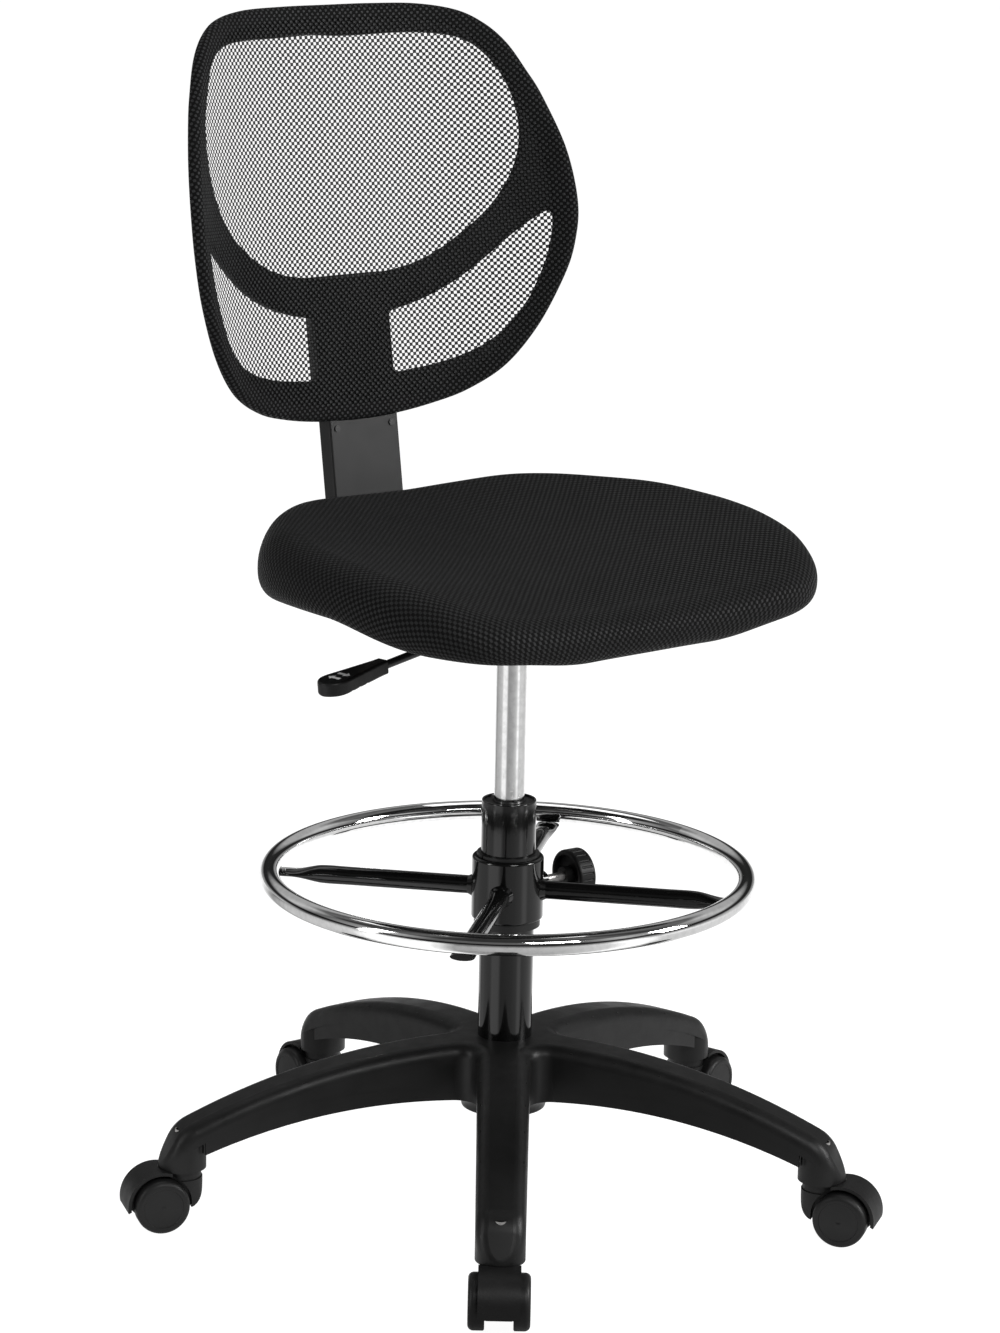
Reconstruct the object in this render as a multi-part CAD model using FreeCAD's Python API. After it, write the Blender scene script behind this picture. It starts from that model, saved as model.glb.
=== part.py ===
import FreeCAD, Part
import math
import os

# Drafting chair: five-star base on casters, gas lift column, adjustable foot ring,
# upholstered seat and a mesh back on a bent steel bar.
# Millimetres. The origin is on the floor on the column's axis, +Z is up and the sitter faces -Y.

V = FreeCAD.Vector
UP = V(0, 0, 1)
OUTWARD = V(1, 0, 0)
SIDEWAYS = V(0, 1, 0)
FIT = 0.05           # radial running clearance of shafts, sleeves and pins
GAP = 0.3            # free gap between faces that only pass each other

# Base
LEGS = 5
BASE_TURN = -4.0     # how far the base is swivelled under the seat, degrees
STEM_CIRCLE = 306.0  # distance of each caster's stem from the column
LEG_TIP_R = 22.0
LEG_ROOT_HALF = 25.0
LEG_WALL = 4.0
BASE_TOP = 156.0
BASE_FOOT = 54.5     # underside of each leg's socket
HUB_R = 39.0
HUB_FOOT = 88.0
SOCKET_BORE_R = 6.5
SOCKET_TOP = 91.0
TOP_EDGE_R = 12.0
LEG_ARCH_R = 650.0     # the legs' tops arch down from here outwards
LEG_ARCH_START = 31.0
SHOULDER_START = 300.0 # then turn down over the casters
SHOULDER_R = 34.0
SHOULDER_TURN = 63.0   # degrees

# Casters
WHEEL_R = 25.0
WHEEL_INNER = 12.5
WHEEL_OUTER = 27.0
TRAIL = 23.0         # axle behind the stem
HOOD_R = 31.0
HOOD_CLEAR_R = 28.0
HOOD_HALF = 18.5
AXLE_R = 3.0
STEM_R = 5.5

# Column and gas lift
TUBE_R = 25.0
TUBE_WALL = 2.0
TUBE_FOOT = 86.0
TUBE_TOP = 381.0
PLATE_T = 3.0
BEARING_FOOT = TUBE_FOOT + PLATE_T
RACE_T = 2.4
BALL_R = 2.2
BEARING_TOP = BEARING_FOOT + 2 * RACE_T + 2 * BALL_R - 1.2
CYLINDER_R = 14.0
CYLINDER_FOOT = 246.0
CYLINDER_TOP = 547.0
TAPER_FOOT = 518.0
TAPER_TOP_R = 13.2
ROD_R = 5.0
ROD_END_R = 4.0
ROD_TOP = 366.0
PIN_R = 3.0
PIN_TOP = 550.6

# Foot ring
RING_TURN = -5.0     # swivel of the foot ring about the column, degrees
RING_R = 219.0
RING_TUBE_R = 9.5
RING_TUBE_WALL = 1.5
RING_Z = 309.5
COLLAR_R = 33.0
COLLAR_FOOT = 269.0
COLLAR_TOP = 328.0
LINER_R = 27.5
LINER_FOOT = 262.0
LINER_TOP = 331.0
SPOKE_R = 8.5
SPOKE_Z = 297.0
SPOKES = 4
KNOB_R = 24.0
KNOB_NEAR = 66.0
KNOB_FAR = 84.0
KNOB_Z = 298.0
STUD_R = 4.0

# Seat
SEAT_FOOT = 563.0    # underside of the cushion
LIP_FOOT = 553.0     # its front lip hangs lower
LIP_REAR = -170.0
SEAT_TOP = 646.0     # highest point of the rim, before rounding
SEAT_MIDDLE_Z = 613.0
SEAT_DISH_R = 1108.0 # the top is dished: it rises towards both sides
SEAT_SLOPE = 5.3     # and rises towards the back, degrees
FLANK_START = 175.0  # outside this the underside rises too
FLANK_SLOPE = 16.0   # degrees
SEAT_OUTLINE = ((0, -202), (60, -201), (122, -200), (178, -195), (212, -174), (235, -140), (250, -98),
                (257, -45), (253, 12), (238, 62), (206, 108), (166, 150), (122, 176), (60, 187), (0, 188))
SEAT_MIDDLE_Y = -34.0
BOARD_INSET = 0.66   # the board is this share of the cushion's outline
BOARD_FOOT = SEAT_FOOT + 3.0
BOARD_TOP = SEAT_FOOT + 15.0
BOLT_X = 78.0
BOLT_YS = (-92.0, 70.0)
BAR_BOLT_XS = (-18.0, 18.0)
BAR_BOLT_Y = 92.0

# Seat plate and lever
FLANGE_TOP = SEAT_FOOT
FLANGE_FOOT = FLANGE_TOP - 3.0
PAN_HALF_X = 42.0
PAN_FRONT = -82.0
PAN_REAR = 62.0
PAN_FOOT = 530.0
PAN_WALL = 2.5
LEVER_TURN = 8.5     # the lever points this far forward of straight sideways, degrees
LEVER_PIVOT = V(-50, 0, 552.5)
LEVER_R = 3.8
LEVER_PATH = ((9, 555.2), (-72, 551.5), (-108, 541.0), (-209, 529.5))
LEVER_BENDS = (22.0, 60.0)
GRIP_MIDDLE = V(-208, 0, 529.6)
GRIP_DROOP = 6.5

# Back
RECLINE = 8.7
BACK_Y = 264.0       # front of the mesh at the middle, at height BACK_Z
BACK_Z = 950.0
CURVE_MIDDLE_R = 1500.0
CURVE_SIDE_R = 235.0
CURVE_CHANGE_X = 50.0
CURVE_END = 62.0     # degrees
MESH_T = 1.5
FRAME_T = 9.0
BACK_OUTLINE = ((0, 130.5), (50, 130.3), (98, 128), (135, 120), (158, 106), (175, 86), (188, 59),
                (198, 33.5), (211, -16), (216, -66), (213, -102), (204, -136), (183, -181), (155, -216),
                (120, -236), (84, -245.5), (44, -251), (0, -253))
UPPER_WINDOW = ((0, 103), (60, 102.5), (113, 100), (143, 91), (164, 68), (175, 42), (180, 9),
                (177, -19), (166, -46), (150, -68), (129, -86), (106, -101), (78, -112.5), (40, -118.5), (0, -120.5))
LOWER_WINDOW_TOP = ((45, -155.5), (87, -146), (130, -125), (165, -97), (199, -72))
LOWER_WINDOW_SIDE = ((199, -72), (196, -110), (178, -155), (146, -191), (102, -207.5), (45, -213.5))
STEM_HALF = 42.0
STEM_DEPTH = 20.0
BAR_HALF = 30.0
BAR_T = 6.0
BAR_LOCAL_Y = 8.0    # middle of the bar's upright part behind the front of the mesh
BAR_Z = 557.0        # middle of the bar's level part
BAR_BEND_R = 28.0
BAR_TOP = -165.0     # end of the bar, along the back
BACK_BOLTS = ((0.0, -235.0), (-16.0, -185.0), (16.0, -185.0))
COVER_HALF = 40.5
COVER_NEAR = -3.0
COVER_DEPTH = 17.5
COVER_WALL = 2.5
COVER_FOOT_Z = 590.0
COVER_SCREWS = ((-32.0, -259.5), (32.0, -259.5))


def cylinder(radius, low, high):
    return Part.makeCylinder(radius, high - low, V(0, 0, low), UP)


def sleeve(outer, inner, low, high):
    return cylinder(outer, low, high).cut(cylinder(inner, low - 1, high + 1))


def block(x0, x1, y0, y1, z0, z1):
    return Part.makeBox(x1 - x0, y1 - y0, z1 - z0, V(x0, y0, z0))


def rod_along(axis, radius, start, end, middle=V(0, 0, 0)):
    return Part.makeCylinder(radius, end - start, middle + axis * start, axis)


def turned(shape, angle, centre=V(0, 0, 0), axis=UP):
    copy = shape.copy()
    copy.rotate(centre, axis, angle)
    return copy


def shifted(shape, x, y, z):
    copy = shape.copy()
    copy.translate(V(x, y, z))
    return copy


def polygon(points):
    return Part.Face(Part.makePolygon(list(points) + [points[0]]))


def lathe(edges):
    """Turns a closed outline in the XZ plane about the column's axis."""
    return Part.Face(Part.Wire(edges)).revolve(V(0, 0, 0), UP, 360)


def lathe_points(points):
    return polygon([V(r, 0, z) for r, z in points]).revolve(V(0, 0, 0), UP, 360)


def line(a, b):
    return Part.LineSegment(a, b).toShape()


def arc(a, middle, b):
    return Part.Arc(a, middle, b).toShape()


def write(name, *solids):
    shape = solids[0] if len(solids) == 1 else Part.makeCompound(list(solids))
    if not shape.isValid() or not shape.Solids:
        raise ValueError("bad solid in " + name)
    shape.exportStep("parts/" + name + ".step")


# ---------------------------------------------------------------- base

def leg_plan(tip_r, root_half, length=STEM_CIRCLE):
    """One tapered leg with a round tip, seen from above."""
    lean = math.asin((root_half - tip_r) / length)
    reach = length + tip_r * math.sin(lean)
    half = tip_r * math.cos(lean)
    edges = [
        line(V(0, -root_half, 0), V(reach, -half, 0)),
        arc(V(reach, -half, 0), V(length + tip_r, 0, 0), V(reach, half, 0)),
        line(V(reach, half, 0), V(0, root_half, 0)),
        line(V(0, root_half, 0), V(0, -root_half, 0)),
    ]
    return Part.Face(Part.Wire(edges))


def star_prism(inset, low, high):
    """All five legs as one prism, with rounded corners between them."""
    leg = leg_plan(LEG_TIP_R - inset, LEG_ROOT_HALF - inset)
    leg.translate(V(0, 0, low))
    leg = leg.extrude(V(0, 0, high - low))
    star = leg
    for k in range(1, LEGS):
        star = star.fuse(turned(leg, 360.0 / LEGS * k))
    star = star.removeSplitter()
    corners = []
    for edge in star.Edges:
        middle = edge.valueAt((edge.FirstParameter + edge.LastParameter) / 2)
        if edge.Length > high - low - 1 and math.hypot(middle.x, middle.y) < 60:
            corners.append(edge)
    return star.makeFillet(16.0 + inset, corners)


def arch_profile(foot, reach):
    """Everything under the legs' arched top, turned about the column."""
    start = V(LEG_ARCH_START, 0, BASE_TOP)
    centre = V(LEG_ARCH_START, 0, BASE_TOP - LEG_ARCH_R)
    end_angle = math.asin((SHOULDER_START - LEG_ARCH_START) / LEG_ARCH_R)

    def on_arch(angle):
        return centre + V(math.sin(angle), 0, math.cos(angle)) * LEG_ARCH_R

    shoulder = on_arch(end_angle)
    inner = shoulder - V(math.sin(end_angle), 0, math.cos(end_angle)) * SHOULDER_R

    def on_shoulder(angle):
        return inner + V(math.sin(angle), 0, math.cos(angle)) * SHOULDER_R

    last_angle = math.radians(SHOULDER_TURN)
    last = on_shoulder(last_angle)
    drop = (reach - last.x) * math.tan(last_angle)
    edges = [
        line(V(0, 0, foot), V(0, 0, BASE_TOP)),
        line(V(0, 0, BASE_TOP), start),
        arc(start, on_arch(end_angle / 2), shoulder),
        arc(shoulder, on_shoulder((end_angle + last_angle) / 2), last),
        line(last, V(reach, 0, last.z - drop)),
        line(V(reach, 0, last.z - drop), V(reach, 0, foot)),
        line(V(reach, 0, foot), V(0, 0, foot)),
    ]
    return lathe(edges)


def under_curve(points, floor):
    """Everything below an arc through three points, turned about the column."""
    a, middle, b = [V(r, 0, z) for r, z in points]
    edges = [
        arc(a, middle, b),
        line(b, V(b.x, 0, floor)),
        line(V(b.x, 0, floor), V(a.x, 0, floor)),
        line(V(a.x, 0, floor), a),
    ]
    return lathe(edges)


def round_top_edges(star, top):
    """Rounds the edges between the legs' sides and their arched top."""
    rims = []
    for edge in star.Edges:
        first, last = edge.FirstParameter, edge.LastParameter
        points = [edge.valueAt(first + (last - first) * s) for s in (0.1, 0.5, 0.9)]
        radii = [math.hypot(p.x, p.y) for p in points]
        on_top = all(top.distToShape(Part.Vertex(p))[0] < 0.01 for p in points)
        high = all(p.z > BASE_FOOT + 3 for p in points)
        if on_top and high and max(radii) - min(radii) > 0.02:
            rims.append(edge)
    return star.makeFillet(TOP_EDGE_R, rims)


def leg_undercut(curve):
    """The space under the legs, leaving the round sockets at their tips."""
    space = under_curve(curve, 40.0)
    for k in range(LEGS):
        keep = cylinder(LEG_TIP_R, 30, 170)
        keep.translate(V(STEM_CIRCLE, 0, 0))
        keep = keep.fuse(block(STEM_CIRCLE, 420, -34, 34, 30, 170))
        space = space.cut(turned(keep, 360.0 / LEGS * k))
    return space


def make_star_base():
    tall = turned(arch_profile(BASE_FOOT, 345.0), 180.0 / LEGS)
    skin_line = ((30, 104), (130, 118.5), (345, 50))
    rib_line = ((30, 100), (115, 104.5), (345, 46))
    star = star_prism(0.0, BASE_FOOT, BASE_TOP + 10).common(tall)
    top_faces = [f for f in tall.Faces if f.BoundBox.ZMax > 60 and f.Surface.TypeId != "Part::GeomCylinder"]
    top = Part.makeCompound(top_faces)
    star = round_top_edges(star, top)
    star = star.cut(leg_undercut(skin_line))

    hollow = star_prism(LEG_WALL, 40, BASE_TOP + 10)
    hollow = hollow.common(shifted(arch_profile(30, 345.0), 0, 0, -LEG_WALL))
    keep = cylinder(HUB_R, 30, 170)
    for k in range(LEGS):
        boss = cylinder(LEG_TIP_R + 1, 30, 170)
        boss.translate(V(STEM_CIRCLE, 0, 0))
        boss = boss.fuse(block(STEM_CIRCLE, 420, -34, 34, 30, 170))
        keep = keep.fuse(turned(boss, 360.0 / LEGS * k))
    hollow = hollow.cut(keep)

    lip = star_prism(1.2, BASE_FOOT, 122).cut(leg_undercut(rib_line))
    lip = lip.common(cylinder(290, 40, 130)).common(shifted(arch_profile(30, 345.0), 0, 0, -14))
    star = star.cut(hollow).fuse(lip.cut(hollow))

    ribs = []
    for k in range(LEGS):
        spine = block(30, 290, -1.5, 1.5, 40, BASE_TOP)
        for r in range(70, 280, 42):
            spine = spine.fuse(block(r, r + 2.5, -22, 22, 40, BASE_TOP))
        ribs.append(turned(spine, 360.0 / LEGS * k))
    room = star_prism(LEG_WALL - 1, 60, 170).common(shifted(arch_profile(50, 345.0), 0, 0, 1 - LEG_WALL))
    room = room.cut(leg_undercut([(r, z + 9) for r, z in rib_line]))
    for rib in ribs:
        star = star.fuse(rib.common(room))

    boss = lathe([
        line(V(0, 0, HUB_FOOT), V(HUB_R, 0, HUB_FOOT)),
        arc(V(HUB_R, 0, HUB_FOOT), V(44, 0, 98), V(56, 0, 103)),
        line(V(56, 0, 103), V(56, 0, 112)),
        line(V(56, 0, 112), V(HUB_R, 0, 112)),
        line(V(HUB_R, 0, 112), V(HUB_R, 0, BASE_TOP - 2)),
        line(V(HUB_R, 0, BASE_TOP - 2), V(0, 0, BASE_TOP - 2)),
        line(V(0, 0, BASE_TOP - 2), V(0, 0, HUB_FOOT)),
    ])
    boss = boss.common(star_prism(1.2, 80, 160).fuse(cylinder(HUB_R, 80, 160)))
    star = star.fuse(boss)
    star = star.cut(cylinder(60, 30, HUB_FOOT)).cut(cylinder(TUBE_R + FIT, 60, 200))
    for k in range(LEGS):
        bore = cylinder(SOCKET_BORE_R, 40, SOCKET_TOP)
        bore.translate(V(STEM_CIRCLE, 0, 0))
        star = star.cut(turned(bore, 360.0 / LEGS * k))
    return turned(star.removeSplitter(), 90 + BASE_TURN)


def place_at_leg(shape, k):
    return turned(shifted(shape, STEM_CIRCLE, 0, 0), 90 + BASE_TURN + 360.0 / LEGS * k)


def make_sockets():
    grip = sleeve(SOCKET_BORE_R - FIT, STEM_R + FIT, BASE_FOOT + 0.5, SOCKET_TOP - 0.5)
    return [place_at_leg(grip, k) for k in range(LEGS)]


# ---------------------------------------------------------------- casters, axle along Y

def make_caster_hood():
    axle = V(TRAIL, 0, WHEEL_R)

    def about_axle(radius, angle):
        rad = math.radians(angle)
        return axle + V(math.cos(rad), 0, math.sin(rad)) * radius

    boss_r = HOOD_HALF
    roof = about_axle(HOOD_R, 136)
    lip_out = about_axle(HOOD_R, -10)
    lip_in = about_axle(HOOD_CLEAR_R, -8)
    side = [
        arc(lip_out, about_axle(HOOD_R, 60), roof),
        line(roof, V(-boss_r, 0, 46)),
        line(V(-boss_r, 0, 46), V(-boss_r + 1.5, 0, 34)),
        arc(V(-boss_r + 1.5, 0, 34), V(-12, 0, 24.5), V(-3, 0, 20.5)),
        line(V(-3, 0, 20.5), V(10, 0, 13)),
        arc(V(10, 0, 13), V(TRAIL, 0, 9), V(40, 0, 15)),
        line(V(40, 0, 15), lip_in),
        line(lip_in, lip_out),
    ]
    face = Part.Face(Part.Wire(side))
    face.translate(V(0, -HOOD_HALF, 0))
    hood = face.extrude(V(0, 2 * HOOD_HALF, 0))
    plan = cylinder(HOOD_HALF, 0, 70).fuse(block(0, 70, -HOOD_HALF, HOOD_HALF, 0, 70))
    hood = hood.common(plan).cut(cylinder(LEG_TIP_R + 0.6, 46, 70))
    hood = hood.fuse(cylinder(HOOD_HALF - 1.2, 40, BASE_FOOT - GAP))
    for side_sign in (-1, 1):
        start = side_sign * (WHEEL_INNER - 1.0)
        room = rod_along(SIDEWAYS * side_sign, HOOD_CLEAR_R, abs(start), 40, axle)
        hood = hood.cut(room)
    hood = hood.cut(rod_along(SIDEWAYS, AXLE_R, -40, 40, axle))
    return hood.cut(cylinder(STEM_R, 30, 70)).removeSplitter()


def make_caster_stem():
    stem = cylinder(STEM_R, 30, SOCKET_TOP - 2)
    tip = [e for e in stem.Edges if e.BoundBox.ZMin > SOCKET_TOP - 3 and e.BoundBox.ZLength < 0.01]
    stem = stem.makeChamfer(1.0, tip)
    groove = sleeve(STEM_R + 1, STEM_R - 0.8, SOCKET_TOP - 9, SOCKET_TOP - 7)
    return stem.cut(groove)


def make_caster_axle():
    return rod_along(SIDEWAYS, AXLE_R, -WHEEL_OUTER + 4, WHEEL_OUTER - 4, V(TRAIL, 0, WHEEL_R))


def make_wheel(sign):
    """A tread with a rounded outer rim, a dished inner face and a shallow ring on its cap."""
    inner, outer = WHEEL_INNER, WHEEL_OUTER
    rim = 5.0
    edges = [
        line(V(AXLE_R + FIT, 0, inner + 1), V(9, 0, inner + 1)),
        line(V(9, 0, inner + 1), V(9, 0, inner + 7)),
        line(V(9, 0, inner + 7), V(20, 0, inner + 7)),
        line(V(20, 0, inner + 7), V(20, 0, inner)),
        line(V(20, 0, inner), V(WHEEL_R - 1, 0, inner)),
        line(V(WHEEL_R - 1, 0, inner), V(WHEEL_R, 0, inner + 1)),
        line(V(WHEEL_R, 0, inner + 1), V(WHEEL_R, 0, outer - rim)),
        arc(V(WHEEL_R, 0, outer - rim), V(WHEEL_R - 0.293 * rim, 0, outer - 0.293 * rim),
            V(WHEEL_R - rim, 0, outer)),
        line(V(WHEEL_R - rim, 0, outer), V(18.6, 0, outer)),
        line(V(18.6, 0, outer), V(18.2, 0, outer - 0.5)),
        line(V(18.2, 0, outer - 0.5), V(0, 0, outer - 0.2)),
        line(V(0, 0, outer - 0.2), V(0, 0, outer - 3.5)),
        line(V(0, 0, outer - 3.5), V(AXLE_R + FIT, 0, outer - 3.5)),
        line(V(AXLE_R + FIT, 0, outer - 3.5), V(AXLE_R + FIT, 0, inner + 1)),
    ]
    wheel = lathe(edges)
    wheel.rotate(V(0, 0, 0), V(1, 0, 0), -90 * sign)
    wheel.translate(V(TRAIL, 0, WHEEL_R))
    return wheel


# ---------------------------------------------------------------- column and gas lift

def make_column_tube():
    tube = sleeve(TUBE_R, TUBE_R - TUBE_WALL, TUBE_FOOT, TUBE_TOP)
    rims = [e for e in tube.Edges if e.BoundBox.ZMin > TUBE_TOP - 0.01]
    tube = tube.makeFillet(0.9, rims)
    plate = sleeve(TUBE_R - TUBE_WALL, ROD_END_R + FIT, TUBE_FOOT, TUBE_FOOT + PLATE_T)
    return tube.fuse(plate).removeSplitter()


def make_guide_bush():
    outer = TUBE_R - TUBE_WALL - FIT
    bush = sleeve(outer, CYLINDER_R + FIT, TUBE_TOP - 82, TUBE_TOP - 2)
    waist = sleeve(outer + 1, outer - 3, TUBE_TOP - 64, TUBE_TOP - 22)
    mouth = lathe_points(((0, TUBE_TOP - 3.5), (CYLINDER_R + FIT, TUBE_TOP - 3.5),
                          (CYLINDER_R + 2, TUBE_TOP - 1.9), (0, TUBE_TOP - 1.9)))
    return bush.cut(waist).cut(mouth)


def make_thrust_bearing():
    race_r = 14.0
    ball_ring = 9.5
    lower = sleeve(race_r, ROD_END_R + 0.2, BEARING_FOOT, BEARING_FOOT + RACE_T)
    upper = sleeve(race_r, ROD_END_R + 0.2, BEARING_TOP - RACE_T, BEARING_TOP)
    middle = (BEARING_FOOT + BEARING_TOP) / 2
    track = Part.makeTorus(ball_ring, BALL_R, V(0, 0, middle), UP)
    balls = []
    for k in range(9):
        ball = Part.makeSphere(BALL_R - 0.02, V(ball_ring, 0, middle))
        balls.append(turned(ball, 40.0 * k))
    return [lower.cut(track), upper.cut(track)] + balls


def make_bump_washer():
    return sleeve(13.0, ROD_R + 0.2, BEARING_TOP + 0.2, BEARING_TOP + 6)


def make_piston_rod():
    shoulder = BEARING_TOP + 0.1
    rod = cylinder(ROD_END_R, TUBE_FOOT - 5, shoulder).fuse(cylinder(ROD_R, shoulder, ROD_TOP - 14))
    groove = sleeve(ROD_END_R + 1, ROD_END_R - 1, TUBE_FOOT - 3.2, TUBE_FOOT - 2)
    head = cylinder(CYLINDER_R - 2 - GAP, ROD_TOP - 16, ROD_TOP)
    ring_groove = sleeve(CYLINDER_R, CYLINDER_R - 4.5, ROD_TOP - 10, ROD_TOP - 6)
    return rod.cut(groove).fuse(head.cut(ring_groove)).removeSplitter()


def make_rod_clip():
    clip = sleeve(7.0, ROD_END_R - 1 + 0.02, TUBE_FOOT - 3.1, TUBE_FOOT - 2.1)
    clip = clip.cut(block(0, 10, -2, 2, TUBE_FOOT - 4, TUBE_FOOT - 1))
    washer = sleeve(10.0, ROD_END_R + 0.1, TUBE_FOOT - 1.9, TUBE_FOOT - 0.4)
    return [clip, washer]


def make_gas_cylinder():
    body = cylinder(CYLINDER_R, CYLINDER_FOOT, TAPER_FOOT)
    taper = Part.makeCone(CYLINDER_R, TAPER_TOP_R, CYLINDER_TOP - TAPER_FOOT, V(0, 0, TAPER_FOOT), UP)
    body = body.fuse(taper)
    body = body.cut(cylinder(CYLINDER_R - 2, CYLINDER_FOOT + 6, CYLINDER_TOP - 18))
    body = body.cut(cylinder(ROD_R + FIT, CYLINDER_FOOT - 5, CYLINDER_FOOT + 20))
    return body.cut(cylinder(PIN_R + FIT, CYLINDER_TOP - 30, CYLINDER_TOP + 5)).removeSplitter()


def make_release_pin():
    return cylinder(PIN_R, CYLINDER_TOP - 12, PIN_TOP)


# ---------------------------------------------------------------- foot ring

def make_ring_liner():
    body = sleeve(LINER_R, TUBE_R + FIT, LINER_FOOT, LINER_TOP)
    foot = sleeve(COLLAR_R - 2.5, TUBE_R + FIT, LINER_FOOT, COLLAR_FOOT - GAP)
    lip = sleeve(LINER_R + 1.2, TUBE_R + FIT, COLLAR_TOP + GAP, LINER_TOP)
    liner = body.fuse(foot).fuse(lip).removeSplitter()
    slit = block(-TUBE_R - 20, 0, -1.2, 1.2, LINER_FOOT - 1, LINER_TOP + 1)
    return turned(liner.cut(slit), RING_TURN)


def make_ring_collar():
    collar = sleeve(COLLAR_R, LINER_R + FIT, COLLAR_FOOT, COLLAR_TOP)
    outer = [e for e in collar.Edges if e.BoundBox.XMax > COLLAR_R - 0.1 and e.BoundBox.ZLength < 0.01]
    collar = collar.makeFillet(2.4, outer)
    boss = rod_along(OUTWARD, 8.0, LINER_R + 2, COLLAR_R + 8, V(0, 0, KNOB_Z))
    collar = collar.fuse(boss.cut(cylinder(LINER_R + FIT, 250, 340)))
    collar = collar.cut(rod_along(OUTWARD, STUD_R + FIT, 20, 60, V(0, 0, KNOB_Z)))
    return turned(collar.removeSplitter(), RING_TURN)


def ellipse_wire(x, z, half_wide, half_high):
    """An upright ellipse across a spoke that runs along +X."""
    count = 16
    points = []
    for k in range(count):
        angle = 2 * math.pi * k / count
        points.append(V(x, half_wide * math.cos(angle), z + half_high * math.sin(angle)))
    curve = Part.BSplineCurve()
    curve.interpolate(points, PeriodicFlag=True)
    return Part.Wire(curve.toShape())


def make_spokes():
    """Round tubes from the collar, pressed flat where they pass under the ring."""
    flat_half, flat_thick = 11.0, 3.2
    flat_z = RING_Z - RING_TUBE_R - flat_thick - 0.1
    round_end, flat_start = 172.0, 203.0
    flat_end = RING_R + 1
    sections = []
    for step in range(7):
        x = COLLAR_R - 3 + (round_end - COLLAR_R + 3) * step / 7.0
        sections.append(ellipse_wire(x, SPOKE_Z, SPOKE_R, SPOKE_R))
    for step in range(7):
        share = step / 6.0
        blend = share * share * (3 - 2 * share)
        sections.append(ellipse_wire(round_end + (flat_start - round_end) * share,
                                     SPOKE_Z + (flat_z - SPOKE_Z) * blend,
                                     SPOKE_R + (flat_half - SPOKE_R) * blend,
                                     SPOKE_R + (flat_thick - SPOKE_R) * blend))
    for x in (flat_start + 10, flat_end):
        sections.append(ellipse_wire(x, flat_z, flat_half, flat_thick))
    spoke = Part.makeLoft(sections, True)
    bead = Part.makeCone(SPOKE_R + 2.6, SPOKE_R - 1, 7, V(COLLAR_R - 1.5, 0, SPOKE_Z), OUTWARD)
    spoke = spoke.fuse(bead).cut(cylinder(COLLAR_R + 0.02, 260, 340))
    return [turned(spoke, RING_TURN + 45 + 360.0 / SPOKES * k) for k in range(SPOKES)]


def make_foot_ring():
    outer = Part.makeTorus(RING_R, RING_TUBE_R, V(0, 0, RING_Z), UP)
    return outer.cut(Part.makeTorus(RING_R, RING_TUBE_R - RING_TUBE_WALL, V(0, 0, RING_Z), UP))


def make_ring_knob():
    """A ribbed knob with a recessed face, on an axis along +X."""
    knob = rod_along(OUTWARD, KNOB_R, KNOB_NEAR, KNOB_FAR)
    rims = [e for e in knob.Edges if e.BoundBox.XLength < 0.01]
    knob = knob.makeFillet(2.5, rims)
    ribs = 24
    for k in range(ribs):
        groove = rod_along(OUTWARD, 1.3, KNOB_NEAR + 3, KNOB_FAR - 3, V(0, KNOB_R + 0.5, 0))
        knob = knob.cut(turned(groove, 360.0 / ribs * k, V(0, 0, 0), OUTWARD))
    dish = rod_along(OUTWARD, KNOB_R - 4.5, KNOB_NEAR - 1, KNOB_NEAR + 5)
    hub = rod_along(OUTWARD, 8.5, KNOB_NEAR - 4, KNOB_NEAR + 8)
    knob = knob.cut(dish).fuse(hub)
    knob = knob.cut(rod_along(OUTWARD, STUD_R, KNOB_NEAR - 10, KNOB_FAR - 6))
    return turned(shifted(knob.removeSplitter(), 0, 0, KNOB_Z), RING_TURN)


def make_knob_stud():
    stud = rod_along(OUTWARD, STUD_R, LINER_R + GAP, KNOB_FAR - 6, V(0, 0, KNOB_Z))
    for k in range(9):
        x = COLLAR_R + 9.5 + 1.25 * k
        thread = rod_along(OUTWARD, STUD_R + 1, x, x + 0.5, V(0, 0, KNOB_Z))
        core = rod_along(OUTWARD, STUD_R - 0.45, x - 1, x + 1.5, V(0, 0, KNOB_Z))
        stud = stud.cut(thread.cut(core))
    return turned(stud, RING_TURN)


# ---------------------------------------------------------------- seat plate and lever

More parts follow.
